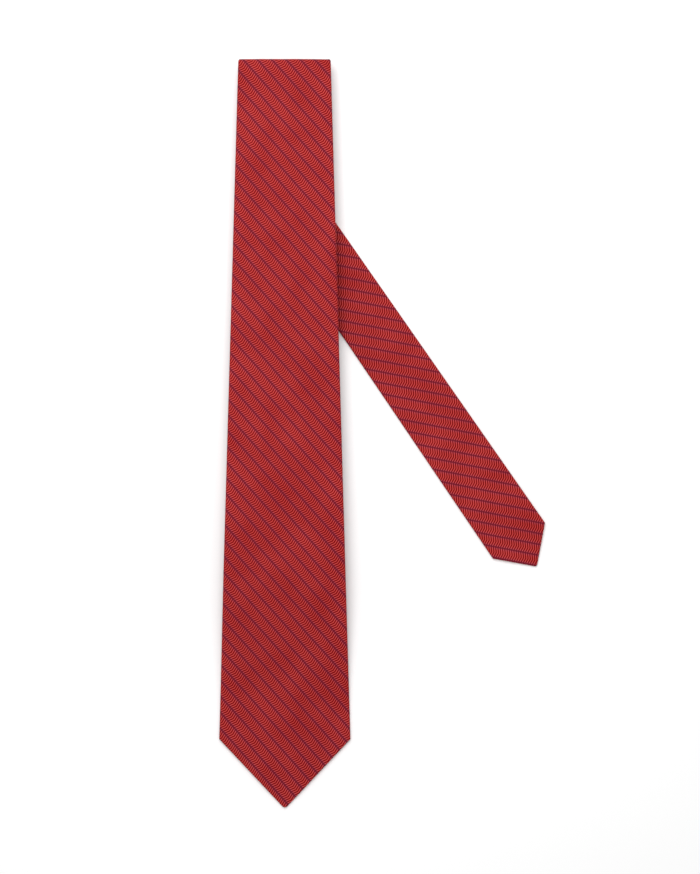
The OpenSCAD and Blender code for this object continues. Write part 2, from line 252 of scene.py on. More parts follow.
class Flat:
    """A row of cloth on a run's flat part, at s = s0 + slope * u.  As for a Bend, place gives a point
    of it in the folds' frame, and pattern_s the s that the pattern goes by."""

    def __init__(self, run, s0, slope=0.0):
        self.run, self.s0, self.slope = run, s0, slope

    def s(self, u):
        return self.s0 + self.slope * u

    def place(self, u, b):
        s = self.s(u)
        h = b if FACE_UP[self.run] else THICK - b
        if self.run == 1:
            y = s - BLADE_LEN
            return (u, y, blade_rise(y) + h)
        if self.run == 5:
            return on_tail(u, s - CREASE_S, FLOOR[5] + h)
        y = {2: BLADE_LEN - s, 3: s - LOWER_S + LOWER_Y, 4: INNER_S + INNER_Y - s}[self.run]
        return (u, y, FLOOR[self.run] + h)

    def pattern_s(self, u):
        return self.s(u) + EXTRA[self.run]


class Bend:
    """A row of cloth on a fold's bend; turn goes from -1 on the upper run to 1 on the lower."""

    def __init__(self, fold, turn):
        self.fold, self.turn = FOLDS[fold], turn
        self.run = self.fold["run"] + (turn > 0)

    def s(self, u):
        if "y" in self.fold:
            return self.fold["s"] + self.turn * BEND_OUT
        return CREASE_S + (u * CREASE_COS + self.turn * BEND_OUT) / CREASE_SIN

    def place(self, u, b):
        r = BEND_IN + (b if self.fold["face_out"] else THICK - b)
        angle = -self.turn * math.pi / 2
        out, z = BEND_OUT - r * math.cos(angle), self.fold["z"] + r * math.sin(angle)
        if "y" in self.fold:
            return (u, self.fold["y"] - self.fold["side"] * out, z)
        along = self.s(u) - CREASE_S
        return on_crease(out, u * CREASE_SIN + along * CREASE_COS, z)

    def pattern_s(self, u):
        run = self.fold["run"]
        return self.s(u) + lerp(EXTRA[run], EXTRA[run + 1], (self.turn + 1) / 2)


FOLDS = {
    "top_fold": dict(run=1, y=0.0, side=1, z=TOP_Z, s=BLADE_LEN, face_out=True),
    "lower_fold": dict(run=2, y=LOWER_Y, side=-1, z=LOWER_Z, s=LOWER_S, face_out=False),
    "inner_fold": dict(run=3, y=INNER_Y, side=1, z=INNER_Z, s=INNER_S, face_out=True),
    "tail_fold": dict(run=4, z=CREASE_Z, s=CREASE_S, face_out=False),
}
FACE_OUT_EXTRA = math.pi * BEND_OUT - 2 * BEND_OUT   # extra face cloth round the outside of a fold
FACE_IN_EXTRA = math.pi * BEND_IN - 2 * BEND_OUT
EXTRA = {1: 0.0, 2: FACE_OUT_EXTRA, 3: FACE_OUT_EXTRA + FACE_IN_EXTRA,
         4: 2 * FACE_OUT_EXTRA + FACE_IN_EXTRA, 5: 2 * FACE_OUT_EXTRA + FACE_IN_EXTRA}
TURNS = (-1, -0.8, -0.6, -0.42, -0.28, -0.16, -0.08, -0.03, 0.03, 0.08, 0.16, 0.28, 0.42, 0.6, 0.8, 1)

# The crease's own rows, as s at the middle and slope, on the crossover and on the tail
CREASE_SLOPE = 1 / math.tan(CREASE_ANGLE)
CREASE_ROW_4 = (CREASE_S - CREASE_REACH / CREASE_SIN, CREASE_SLOPE)
CREASE_ROW_5 = (CREASE_S + CREASE_REACH / CREASE_SIN, CREASE_SLOPE)


WIDTH_STEPS, WIDTH_SHARE = 12, 0.8


def side_widths(row):
    """The tie's half width at each end of a row, in steps because the row may slant."""
    widths = []
    for side in (-1, 1):
        w = half_width(row.s(0))
        for _ in range(WIDTH_STEPS):
            w = lerp(w, half_width(row.s(side * w)), WIDTH_SHARE)
        widths.append(w)
    return widths


# ---- Cross-sections ----

FLAP_STEPS, EDGE_STEPS, FACE_STEPS, SLAB_STEPS = 10, 6, 22, 16
SLAB_LEAST, TIPPING_LEAST = 0.2, 0.3    # a layer's smallest half width


def lap(s):
    """How far the back's two edges have come together to overlap, from 0 at a point's window to 1."""
    end, d = nearest_end(s)
    return smooth((d - POINTS[end]["back"]) / LAP_RUN)


def flap_ends(s, left_limit, right_limit):
    """Where the silk's left and right edges end on the back.  The limits are where the flaps start."""
    end, d = nearest_end(s)
    closed = lap(s)
    half = window_half(POINTS[end], d) + MITRE_HALF
    left, right = lerp(-half, LAP, closed), lerp(half, LAP_EDGE, closed)
    return max(left, left_limit * FLAP_MOST), min(right, right_limit * FLAP_MOST)


def pressed(s):
    """Thickness of the tie at s: its points are pressed thinner."""
    _, d = nearest_end(s)
    return THICK * lerp(PRESSED_TIP, 1.0, smooth(d / PRESSED_RUN))


def swell(u, w, s):
    """How far the face stands proud at u: a soft crown and slow unevenness."""
    inside = max(0.0, 1 - (u / w) ** 2)
    uneven = sum(height * noise.noise(Vector((u / across, s / along, seed)))
                 for height, across, along, seed in UNEVEN)
    return CROWN * inside + uneven * min(1.0, inside * UNEVEN_FADE)


def edge_point(r, thick, skin, turn):
    """How far out of an edge's centre a skin's point lies, and its depth."""
    return (max(r - skin, EDGE_LEAST) * math.sin(turn),
            thick / 2 - max(thick / 2 - skin, EDGE_LEAST) * math.cos(turn))


def silk_skin(row, skin):
    """One skin of the silk tube at a row, as (u, b, kind): skin is its depth inside the outside.
    It goes from the left edge's end on the back, round over the face, to the right edge's end."""
    left_w, right_w = side_widths(row)
    t_left, t_right = pressed(row.s(-left_w)), pressed(row.s(right_w))
    rl, rr = min(t_left / 2, left_w * EDGE_MOST), min(t_right / 2, right_w * EDGE_MOST)
    left, right = -(left_w - rl), right_w - rr
    left_end, right_end = flap_ends(row.s(0), left, right)
    sink = LAP_DEPTH * lap(row.s(0))
    points = []
    for i in range(FLAP_STEPS):
        u = lerp(left_end, left, i / FLAP_STEPS)
        points.append((u, sink * smooth((u + LAP_SINK_FROM) / LAP_SINK) + skin, "left"))
    for i in range(EDGE_STEPS + 1):
        out, b = edge_point(rl, t_left, skin, math.pi * i / EDGE_STEPS)
        points.append((left - out, b, "edge"))
    for i in range(1, FACE_STEPS):
        u = lerp(left, right, i / FACE_STEPS)
        thick = lerp(t_left, t_right, i / FACE_STEPS)
        points.append((u, thick - skin + swell(u, max(left_w, right_w), row.s(u)), "face"))
    for i in range(EDGE_STEPS, -1, -1):
        out, b = edge_point(rr, t_right, skin, math.pi * i / EDGE_STEPS)
        points.append((right + out, b, "edge"))
    for i in range(1, FLAP_STEPS + 1):
        points.append((lerp(right, right_end, i / FLAP_STEPS), skin, "right"))
    return points, (left_w, right_w, rl, rr)


def slab_skin(row, depth, inset):
    """One face of a flat layer inside the tie."""
    left_w, right_w = side_widths(row)
    left_w, right_w = max(left_w - inset, SLAB_LEAST), max(right_w - inset, SLAB_LEAST)
    return [(lerp(-left_w, right_w, i / SLAB_STEPS), depth, "face") for i in range(SLAB_STEPS + 1)]


# ---- The pattern's place on the cloth ----

STRIPE_PITCH = 6.93                     # from one dark stripe to the next, square to them
PANELS = {                              # bias angle, shift of the stripes, way the herringbone points
    "blade": (math.radians(41.6), 4.16, 1),
    "neck": (math.radians(44.5), 2.0, 1),
    "tail": (math.radians(44.5), 1.04, -1),
}


def pattern(panel, u, s):
    """Distance across the stripes and along them, at a place on the flat cloth."""
    bias, shift, way = PANELS[panel]
    return (u * math.cos(bias) + s * math.sin(bias) + shift,
            way * (u * math.sin(bias) - s * math.cos(bias)))


def unrolled(u, b, widths, kind):
    """The flat cloth's u at a point of the tube away from its points."""
    left_w, right_w, rl, rr = widths
    if kind == "right":
        return 2 * right_w - u + (math.pi - 2) * rr
    if kind == "left":
        return -2 * left_w - u - (math.pi - 2) * rl
    if kind == "edge":
        w, r, side = (left_w, rl, -1) if u < 0 else (right_w, rr, 1)
        turn = math.acos(max(-1.0, min(1.0, (b - r) / r)))
        return side * (w - r + r * turn)
    return u


def hem_unfolded(end, u, d):
    """The flat cloth's place of a point on a hem, which is folded along the point's slanted edge."""
    p = POINTS[end]
    side = 1 if u > 0 else -1
    lx, ly = side * math.sin(p["angle"]), math.cos(p["angle"])
    d += point_loss(p)
    along = u * lx + d * ly
    return 2 * along * lx - u, 2 * along * ly - d - point_loss(p)


def silk_uv(panel, row, point, widths, on_hem):
    """The pattern's coordinates at one corner of a face, which may be on a point's hem."""
    u, b, kind = point
    if on_hem:
        end, d = nearest_end(row.s(u))
        u2, d2 = hem_unfolded(end, u, d)
        return pattern(panel, u2, d2 if end == "blade" else TOTAL_LEN - d2 + EXTRA[5])
    return pattern(panel, unrolled(u, b, widths, kind), row.pattern_s(u))


# ---- Meshes ----

def to_frame(p):
    """A point of the folds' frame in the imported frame, in metres."""
    return Vector(((p[0] + ORIGIN_X) * MM, (p[1] + ORIGIN_Y) * MM, p[2] * MM))


def make_object(name, vertices, faces, uvs, material, sharp=40.0):
    """An object with a closed mesh of points in the folds' frame; uvs has one pair for each corner of
    each face, and edges sharper than an angle in degrees stay sharp."""
    mesh = bpy.data.meshes.new(name)
    mesh.from_pydata([to_frame(v) for v in vertices], [], faces)
    layer = mesh.uv_layers.new(name="cloth")
    layer.data.foreach_set("uv", [c for uv in uvs for c in uv])
    work = bmesh.new()
    work.from_mesh(mesh)
    bmesh.ops.recalc_face_normals(work, faces=work.faces)
    work.to_mesh(mesh)
    work.free()
    mesh.polygons.foreach_set("use_smooth", [True] * len(mesh.polygons))
    mesh.set_sharp_from_angle(angle=math.radians(sharp))
    mesh.materials.append(material)
    obj = bpy.data.objects.new(name, mesh)
    bpy.context.scene.collection.objects.link(obj)
    return obj


def sweep(name, rows, skins, uv_of, material):
    """Joins the rows' outer and inner skins into one closed mesh.  skins(row) gives both skins as
    lists of (u, b, kind) and the row's widths; uv_of(row, point, widths, on_hem) gives a corner's
    pattern coordinates."""
    made = [skins(row) for row in rows]
    count = len(made[0][0])
    vertices, corners = [], []
    for row, (outer, inner, widths) in zip(rows, made):
        for point in outer + inner:
            vertices.append(row.place(point[0], point[1]))
            corners.append((row, point, widths))
    faces, uvs = [], []

    def add(indices, on_hem=False):
        faces.append(indices)
        uvs.extend(uv_of(*corners[i], on_hem) for i in indices)

    for r in range(len(rows) - 1):
        a, b = r * 2 * count, (r + 1) * 2 * count
        end, d = nearest_end((rows[r].s(0) + rows[r + 1].s(0)) / 2)
        at_point = d < shoulder(POINTS[end])
        for i in range(count - 1):
            on_back = {made[r][0][i][2], made[r][0][i + 1][2]} & {"left", "right"}
            on_hem = at_point and bool(on_back)
            add((a + i, a + i + 1, b + i + 1, b + i), on_hem)
            low_a, low_b = a + count, b + count
            add((low_a + i, low_b + i, low_b + i + 1, low_a + i + 1), on_hem)
        for i in (0, count - 1):
            add((a + i, b + i, b + count + i, a + count + i), at_point)
    for start in (0, (len(rows) - 1) * 2 * count):
        for i in range(count - 1):
            add((start + i, start + i + 1, start + count + i + 1, start + count + i))
    return make_object(name, vertices, faces, uvs, material)


FAN_U = 16                              # a fan of rows is spaced by its reach this far out
ROW_SPACING, ROW_GAP = 4.0, 3.0         # between rows, and between a point's rows and the next


def rows_between(run, first, last, spacing=ROW_SPACING):
    """Rows on a run from first to last, each (s0, slope), fanned evenly between them."""
    reach = max(abs(last[0] - first[0]), abs(last[1] - first[1]) * FAN_U)
    count = max(2, round(reach / spacing))
    return [Flat(run, lerp(first[0], last[0], i / count), lerp(first[1], last[1], i / count))
            for i in range(count + 1)]


TIP_ROWS = (0.04, 0.15, 0.35, 0.7, 1.2, 1.9, 2.8, 4, 5.5, 7.5, 10)   # distances from a point's tip
SHOULDER_ROWS = (-0.4, 0, 0.6, 1.6)     # distances from its shoulders
POINT_SPACING = 3.0                     # between its other rows


def point_rows(run, end):
    """Rows over a point, closer together towards its tip and at its shoulders."""
    edge = shoulder(POINTS[end])
    first, last = TIP_ROWS[-1], edge - 1
    steps = round((last - first - 1) / POINT_SPACING)
    distances = list(TIP_ROWS)
    distances += [lerp(first, last, (i + 1) / steps) for i in range(steps)]
    distances += [edge + d for d in SHOULDER_ROWS]
    return [Flat(run, d if end == "blade" else TOTAL_LEN - d) for d in distances]


def bend_rows(fold):
    """All the rows of a fold's bend."""
    return [Bend(fold, turn) for turn in TURNS]


def fold_rows(fold, before, after):
    """Rows over a straight fold, from before it on one run to after it on the next."""
    run, s = FOLDS[fold]["run"], FOLDS[fold]["s"]
    return (rows_between(run, (s - before, 0), (s - STRAIGHT, 0)) + bend_rows(fold)
            + rows_between(run + 1, (s + STRAIGHT, 0), (s + after, 0)))


def row_length(rows):
    """The distance along the cloth's middle from the first row to the last, in millimetres."""
    return abs(rows[-1].s(0) - rows[0].s(0))


def place_cloth(obj, node, run, length):
    """Puts a sheet of cloth in a CAD node's place, on its run's body."""
    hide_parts(node)
    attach(obj, BODIES[run])


# ---- Silk ----

def silk_skins(row):
    """Both skins of the silk tube at a row, and the row's widths."""
    outer, widths = silk_skin(row, 0.0)
    inner, _ = silk_skin(row, SILK)
    return outer, inner, widths


def silk_piece(name, panel, rows, material):
    """A closed tube of silk over the rows, with the pattern of one of the panels."""
    return sweep(name, rows, silk_skins,
                 lambda row, point, widths, on_hem: silk_uv(panel, row, point, widths, on_hem),
                 material)


def run_silk(name, node, panel, rows, material):
    """The silk of a stretch of one run."""
    place_cloth(silk_piece(name, panel, rows, material), node, rows[0].run,
                row_length(rows))


def fold_silk(name, panel, rows, material):
    """The silk of a fold, where the cloth turns from one run to the next; it is attached to no run's
    body.
    """
    obj = silk_piece(name, panel, rows, material)
    row_length(rows)
    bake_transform(obj)


def make_silk(material):
    """The silk of the three panels, from the blade's tip to the tail's."""
    blade_rows = point_rows(1, "blade")
    blade_rows += rows_between(1, (blade_rows[-1].s0 + ROW_GAP, 0), (BLADE_LEN - FOLD_REACH, 0))
    run_silk("blade_silk", "blade_shell", "blade", blade_rows, material)
    fold_silk("top_fold_silk", "blade", fold_rows("top_fold", FOLD_REACH, FOLD_REACH),
              material)
    run_silk("rear_blade_silk", "rear_blade_shell", "blade",
             rows_between(2, (BLADE_LEN + FOLD_REACH, 0), (BLADE_SEAM_S, -1)), material)
    run_silk("front_neck_silk", "front_neck_shell", "neck",
             rows_between(2, (BLADE_SEAM_S + PANEL_CUT, -1), (LOWER_S - FOLD_REACH, 0)), material)
    fold_silk("lower_fold_silk", "neck", fold_rows("lower_fold", FOLD_REACH, FOLD_REACH),
              material)
    run_silk("rear_neck_silk", "rear_neck_shell", "neck",
             rows_between(3, (LOWER_S + FOLD_REACH, 0), (TAIL_SEAM_S, 1)), material)
    run_silk("upper_tail_silk", "upper_tail_shell", "tail",
             rows_between(3, (TAIL_SEAM_S + PANEL_CUT, 1), (INNER_S - FOLD_REACH, 0)), material)
    fold_silk("inner_fold_silk", "tail", fold_rows("inner_fold", FOLD_REACH, INNER_REACH),
              material)
    run_silk("crossover_silk", "crossover_shell", "tail",
             rows_between(4, (INNER_S + INNER_REACH, 0), CREASE_ROW_4), material)
    fold_silk("crease_silk", "tail",
              rows_between(4, CREASE_ROW_4, (CREASE_S - CREASE_STRAIGHT, CREASE_SLOPE))
              + bend_rows("tail_fold")
              + rows_between(5, (CREASE_S + CREASE_STRAIGHT, CREASE_SLOPE), CREASE_ROW_5),
              material)
    tail_rows = point_rows(5, "tail")[::-1]
    run_silk("tail_silk", "tail_shell", "tail",
             rows_between(5, CREASE_ROW_5, (FAN_END, 0))
             + rows_between(5, (FAN_NEXT, 0), (tail_rows[0].s0 - ROW_GAP, 0)) + tail_rows, material)


# ---- Inside the silk ----

def slab(name, rows, depth, inset, material, half=None):
    """A flat closed layer inside the tie; half(row) overrides its half width."""
    def skins(row):
        if half is None:
            outer = slab_skin(row, depth[0], inset)
        else:
            outer = [(half(row) * (2 * i / SLAB_STEPS - 1), depth[0], "face")
                     for i in range(SLAB_STEPS + 1)]
        inner = [(u, depth[1], kind) for u, _, kind in outer]
        return outer, inner, None
    return sweep(name, rows, skins, lambda row, point, widths, on_hem: (point[0], row.s(point[0])),
                 material)


WOOL_SPACING = 8.0                      # between the rows of the neck's wool
WOOL_END = 4.0                          # from a point's tip to the wool's end
WOOL_TURN = 0.05                        # the wool is parted where a fold's turn is less than this


def half_bend(fold, upper):
    """The rows of a fold's bend that belong to one of its runs, in the order of the cloth."""
    turns = [t for t in TURNS if (t < -WOOL_TURN if upper else t > WOOL_TURN)]
    return [Bend(fold, t) for t in turns]


def wool_layer(name, node, rows, material):
    """The wool inside one run."""
    place_cloth(slab(name, rows, WOOL_DEPTH, WOOL_INSET, material), node, rows[0].run,
                row_length(rows))


def make_wool(material):
    """The wool interlining, parted in the middle of every fold."""
    wool_layer("blade_wool", "blade_interlining",
               rows_between(1, (WOOL_END, 0), (BLADE_LEN - STRAIGHT, 0))
               + half_bend("top_fold", True), material)
    wool_layer("upper_neck_wool", "upper_neck_interlining",
               half_bend("top_fold", False)
               + rows_between(2, (BLADE_LEN + STRAIGHT, 0), (LOWER_S - STRAIGHT, 0), WOOL_SPACING)
               + half_bend("lower_fold", True), material)
    wool_layer("lower_neck_wool", "lower_neck_interlining",
               half_bend("lower_fold", False)
               + rows_between(3, (LOWER_S + STRAIGHT, 0), (INNER_S - STRAIGHT, 0), WOOL_SPACING)
               + half_bend("inner_fold", True), material)
    wool_layer("crossover_wool", "crossover_interlining",
               half_bend("inner_fold", False)
               + rows_between(4, (INNER_S + STRAIGHT, 0), (CREASE_S - CREASE_STRAIGHT, CREASE_SLOPE))
               + half_bend("tail_fold", True), material)
    wool_layer("tail_wool", "tail_interlining",
               half_bend("tail_fold", False)
               + rows_between(5, (CREASE_S + CREASE_STRAIGHT, CREASE_SLOPE), (FAN_END, 0))
               + rows_between(5, (FAN_NEXT, 0), (TOTAL_LEN - WOOL_END, 0)), material)


def make_tipping(name, node, run, end, material):
    """The satin behind the opening on a point's back."""
    p, grow = POINTS[end], TIPPING_GROW[end]
    low, high = window_ends(p, grow)
    low, high = low + TIPPING_CLEAR, high - TIPPING_CLEAR
    sign = 1 if end == "blade" else -1
    start = 0 if end == "blade" else TOTAL_LEN
    rows = rows_between(run, (start + sign * low, 0), (start + sign * high, 0),
                        TIPPING_SPACING)
    obj = slab(name, rows, TIPPING_DEPTH, 0, material,
               half=lambda row: max(TIPPING_LEAST, window_half(p, nearest_end(row.s0)[1], grow)))
    place_cloth(obj, node, run, high - low)


def make_seam(name, node, run, s, slope, material):
    """A seam's allowances, pressed open inside the silk."""
    reach = SEAM_ALLOWANCE * math.sqrt(2)
    rows = rows_between(run, (s - reach, slope), (s + reach, slope), SEAM_SPACING)
    obj = slab(name, rows, SEAM_DEPTH, SEAM_INSET, material)
    place_cloth(obj, node, run, 2 * reach)


# ---- Thread, loop and label ----

def ring_faces(count, sides):
    """The faces of a closed tube of count rings, its two ends included."""
    faces = []
    for i in range(count - 1):
        for k in range(sides):
            a, b = i * sides + k, i * sides + (k + 1) % sides
            faces.append((a, b, b + sides, a + sides))
    faces.append(tuple(range(sides))[::-1])
    faces.append(tuple((count - 1) * sides + k for k in range(sides)))
    return faces


THREAD_R, THREAD_SIDES, THREAD_TIP = 0.16, 8, 0.55   # a thread's ends are thinner, by THREAD_TIP


def tube(path):
    """The vertices and faces of a round thread along a path of points."""
    path = [Vector(p) for p in path]
    vertices = []
    for i, centre in enumerate(path):
        ahead = path[min(i + 1, len(path) - 1)] - path[max(i - 1, 0)]
        side = ahead.cross(Vector((0, 0, 1))).normalized()
        up = side.cross(ahead).normalized()
        size = THREAD_R * (THREAD_TIP if i in (0, len(path) - 1) else 1.0)
        for k in range(THREAD_SIDES):
            turn = 2 * math.pi * k / THREAD_SIDES
            vertices.append(centre + (side * math.cos(turn) + up * math.sin(turn)) * size)
    return vertices, ring_faces(len(path), THREAD_SIDES)


def threads(name, node, paths, run, material):
    """Several lengths of sewing thread as one piece."""
    vertices, faces = [], []
    for path in paths:
        v, f = tube(path)
        faces += [tuple(i + len(vertices) for i in face) for face in f]
        vertices += v
    corners = [i for face in faces for i in face]
    uvs = [(vertices[i][0], vertices[i][1]) for i in corners]
    obj = make_object(name, vertices, faces, uvs, material, sharp=70)
    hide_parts(node)
    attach(obj, BODIES[run])


STITCH_LEN, STITCH_PITCH, STITCH_STEPS = 7.0, 12.0, 8
STITCH_U = (-0.5, 0.9)                  # a stitch slants over the right back edge
STITCH_RISE = 0.22                      # how far its middle stands off its ends
TAIL_STITCH_RISE = 0.08                 # the same on the tail, which lies flat on the floor


def stitch_path(run, s):
    """One slanted slip stitch that catches the right back edge, at s."""
    points = []
    rise = TAIL_STITCH_RISE if run == 5 else STITCH_RISE
    for i in range(STITCH_STEPS + 1):
        t = i / STITCH_STEPS
        arch = math.sin(math.pi * t)
        points.append(Flat(run, s + (t - 0.5) * STITCH_LEN).place(
            lerp(*STITCH_U, t), THREAD_R - rise * arch ** 0.5))
    return points


def slip_stitches(name, node, run, low, high, material):
    """A row of slip stitches along a run's back, from low to high."""
    count = int((high - low) / STITCH_PITCH)
    paths = [stitch_path(run, low + (i + 0.5) * STITCH_PITCH) for i in range(count)]
    threads(name, node, paths, run, material)


def tack_path(run, s, u, width, length, depth, turns):
    """A zigzag of thread across a bar tack, centred at s and u."""
    points = []
    for i in range(2 * turns + 1):
        side = 1 if i % 2 else -1
        row = Flat(run, s + side * length / 2)
        points.append(row.place(u + lerp(-width, width, i / (2 * turns)) / 2, depth))
    return points


STITCH_START = 10                       # from the end of a point's opening to the first stitch
CREASE_CLEAR = 26                       # from the crease's middle to the nearest stitch
TACK_SIZE, TACK_TURNS = (8, 1.4), 16    # width across the tie and length along it
BLADE_TACK, TAIL_TACK = 6, 5            # from the end of a point's opening to its bar tack
BLADE_TACK_DEPTH = 0.02


def make_threads(material):
    """The slip stitches and bar tacks that close the tie's back."""
    blade_back, tail_back = POINTS["blade"]["back"], POINTS["tail"]["back"]
    slip_stitches("blade_stitches", "blade_slip_stitch", 1, blade_back + STITCH_START,
                  BLADE_LEN - BEND_OUT, material)
    slip_stitches("upper_neck_stitches", "upper_neck_slip_stitch", 2, BLADE_LEN + BEND_OUT,
                  LOWER_S - BEND_OUT, material)
    slip_stitches("lower_neck_stitches", "lower_neck_slip_stitch", 3, LOWER_S + BEND_OUT,
                  INNER_S - BEND_OUT, material)
    slip_stitches("crossover_stitches", "crossover_slip_stitch", 4, INNER_S + BEND_OUT,
                  CREASE_S - CREASE_CLEAR, material)
    slip_stitches("tail_stitches", "tail_slip_stitch", 5, CREASE_S + CREASE_CLEAR,
                  TOTAL_LEN - tail_back - STITCH_START, material)
    blade_tack = tack_path(1, blade_back + BLADE_TACK, 0, *TACK_SIZE, BLADE_TACK_DEPTH, TACK_TURNS)
    tail_tack = tack_path(5, TOTAL_LEN - tail_back - TAIL_TACK, 0, *TACK_SIZE, THREAD_R,
                          TACK_TURNS)
    threads("blade_tack", "blade_bar_tack", [blade_tack], 1, material)
    threads("tail_tack", "tail_bar_tack", [tail_tack], 5, material)


OFF_BACK = 0.05                         # from the tie's back to what is sewn on it
KEEPER_S, KEEPER_W, KEEPER_L, KEEPER_T = 147.0, 48.0, 10.0, 0.8   # place, span, width, thickness
KEEPER_TAB, KEEPER_DROP = 6.0, 3.4      # length of its tacked ends, drop of its middle
KEEPER_BEND = 4.5                       # length over which it leaves the tie's back
KEEPER_STEPS, KEEPER_SIDES = 60, 12
KEEPER_SQUARE = 0.8                     # how square its outline is, from 0, round, to 1
KEEPER_SPARE = 4                        # it is this much longer than it spans
KEEPER_SHIFT = 3                        # shifts the stripes on it
KEEPER_TACK, KEEPER_TURNS = (1.6, KEEPER_L - 2), 4   # size and turns of the thread on its ends


def keeper_depth(x):
    """Depth of the keeper loop's middle at x: its ends lie on the tie's back, its span hangs off."""
    hang = smooth((KEEPER_W / 2 - KEEPER_TAB - abs(x)) / KEEPER_BEND)
    return -OFF_BACK - KEEPER_T / 2 - (KEEPER_DROP - KEEPER_T / 2) * hang


def keeper_ring(x):
    """The keeper loop's outline at x, as places along the tie from its middle and depths."""
    ring = []
    for k in range(KEEPER_SIDES):
        turn = 2 * math.pi * k / KEEPER_SIDES
        square = max(abs(math.cos(turn)), abs(math.sin(turn))) ** KEEPER_SQUARE
        across = KEEPER_L / 2 * math.cos(turn) / square
        depth = keeper_depth(x) + KEEPER_T / 2 * math.sin(turn) / square
        ring.append((max(-KEEPER_L / 2, min(KEEPER_L / 2, across)), depth))
    return ring


def make_keeper(silk, thread):
    """A folded strip of the tie's own silk across its back, tacked down at both ends."""
    vertices, uvs_at = [], []
    for i in range(KEEPER_STEPS + 1):
        x = lerp(-KEEPER_W / 2, KEEPER_W / 2, i / KEEPER_STEPS)
        for across, depth in keeper_ring(x):
            vertices.append(Flat(1, KEEPER_S + across).place(x, depth))
            uvs_at.append(pattern("blade", across, x + KEEPER_SHIFT))
    faces = ring_faces(KEEPER_STEPS + 1, KEEPER_SIDES)
    uvs = [uvs_at[i] for face in faces for i in face]
    obj = make_object("keeper_strip", vertices, faces, uvs, silk)
    place_cloth(obj, "keeper_loop", 1, KEEPER_W + KEEPER_SPARE)
    x = (KEEPER_W - KEEPER_TAB) / 2
    depth = -2 * OFF_BACK - KEEPER_T
    paths = [tack_path(1, KEEPER_S, side * x, *KEEPER_TACK, depth, KEEPER_TURNS)
             for side in (-1, 1)]
    threads("keeper_thread", "keeper_tacks", paths, 1, thread)


LABEL_W, LABEL_L, LABEL_T, LABEL_BOW = 22.0, 16.0, 0.25, 0.25
LABEL_START = 12                        # from the end of the blade's opening to the label
LABEL_STEPS = 14


def make_label(material):
    """A blank woven label on the blade's back, a little bowed between its sewn ends."""
    middle = POINTS["blade"]["back"] + LABEL_START + LABEL_L / 2
    rows = rows_between(1, (middle - LABEL_L / 2, 0), (middle + LABEL_L / 2, 0), 1.0)

    def skins(row):
        t = (row.s0 - middle) / (LABEL_L / 2)
        outer = []
        for i in range(LABEL_STEPS + 1):
            x = LABEL_W / 2 * (2 * i / LABEL_STEPS - 1)
            bow = LABEL_BOW * (1 - t * t) * (1 - (x / LABEL_W * 2) ** 2)
            outer.append((x, -OFF_BACK - LABEL_T - bow, "face"))
        inner = [(u, b + LABEL_T, kind) for u, b, kind in outer]
        return outer, inner, None

    obj = sweep("blank_label", rows, skins, lambda row, point, widths, on_hem: (point[0], row.s0),
                material)
    place_cloth(obj, "care_label", 1, LABEL_L)


# ---- Materials ----

class Nodes:
    """A small helper that adds shader nodes and links them."""

    def __init__(self, name):
        self.material = bpy.data.materials.new(name)
        self.material.use_nodes = True
        self.tree = self.material.node_tree
        self.shader = self.tree.nodes["Principled BSDF"]

    def add(self, kind, **settings):
        node = self.tree.nodes.new(kind)
        for key, value in settings.items():
            setattr(node, key, value)
        return node

    def put(self, value, socket):
        """Links an output to a socket, or sets a plain value on it."""
        if hasattr(value, "is_output"):
            self.tree.links.new(value, socket)
        else:
            socket.default_value = value

    def math(self, operation, *values):
        node = self.add("ShaderNodeMath", operation=operation)
        for value, socket in zip(values, node.inputs):
            self.put(value, socket)
        return node.outputs[0]

    def ramp(self, value, low, high):
        """A smooth step from 0 at low to 1 at high."""
        node = self.add("ShaderNodeMapRange", interpolation_type="SMOOTHSTEP")
        for v, socket in zip((value, low, high), node.inputs):
            self.put(v, socket)
        return node.outputs[0]

    def wave(self, value, operation="SINE"):
        """A sine or cosine of value, from 0 to 1."""
        return self.math("MULTIPLY_ADD", self.math(operation, value), 0.5, 0.5)

    def mix(self, factor, a, b):
        """Colour a where the factor is 0 and b where it is 1."""
        node = self.add("ShaderNodeMix", data_type="RGBA")
        self.put(factor, node.inputs[0])
        self.put(a, node.inputs[6])
        self.put(b, node.inputs[7])
        return node.outputs[2]

    def noise(self, scale, detail):
        """Noise in space; scale is in waves to the metre."""
        node = self.add("ShaderNodeTexNoise")
        node.inputs["Scale"].default_value = scale
        node.inputs["Detail"].default_value = detail
        self.put(self.add("ShaderNodeTexCoord").outputs["Object"], node.inputs["Vector"])
        return node.outputs[0]

    def cloth(self):
        """The cloth's two coordinates, in millimetres."""
        uv = self.add("ShaderNodeUVMap", uv_map="cloth")
        split = self.add("ShaderNodeSeparateXYZ")
        self.put(uv.outputs[0], split.inputs[0])
        return split.outputs[0], split.outputs[1]

    def finish(self, colour, height, depth, strength, **fixed):
        """Sets the shader: depth is the relief's height in metres, and fixed its plain values."""
        bump = self.add("ShaderNodeBump")
        bump.inputs["Strength"].default_value = strength
        bump.inputs["Distance"].default_value = depth
        self.put(height, bump.inputs["Height"])
        self.put(bump.outputs[0], self.shader.inputs["Normal"])
        self.put(colour, self.shader.inputs["Base Color"])
        for key, value in fixed.items():
            self.put(value, self.shader.inputs[key.replace("_", " ")])
        return self.material


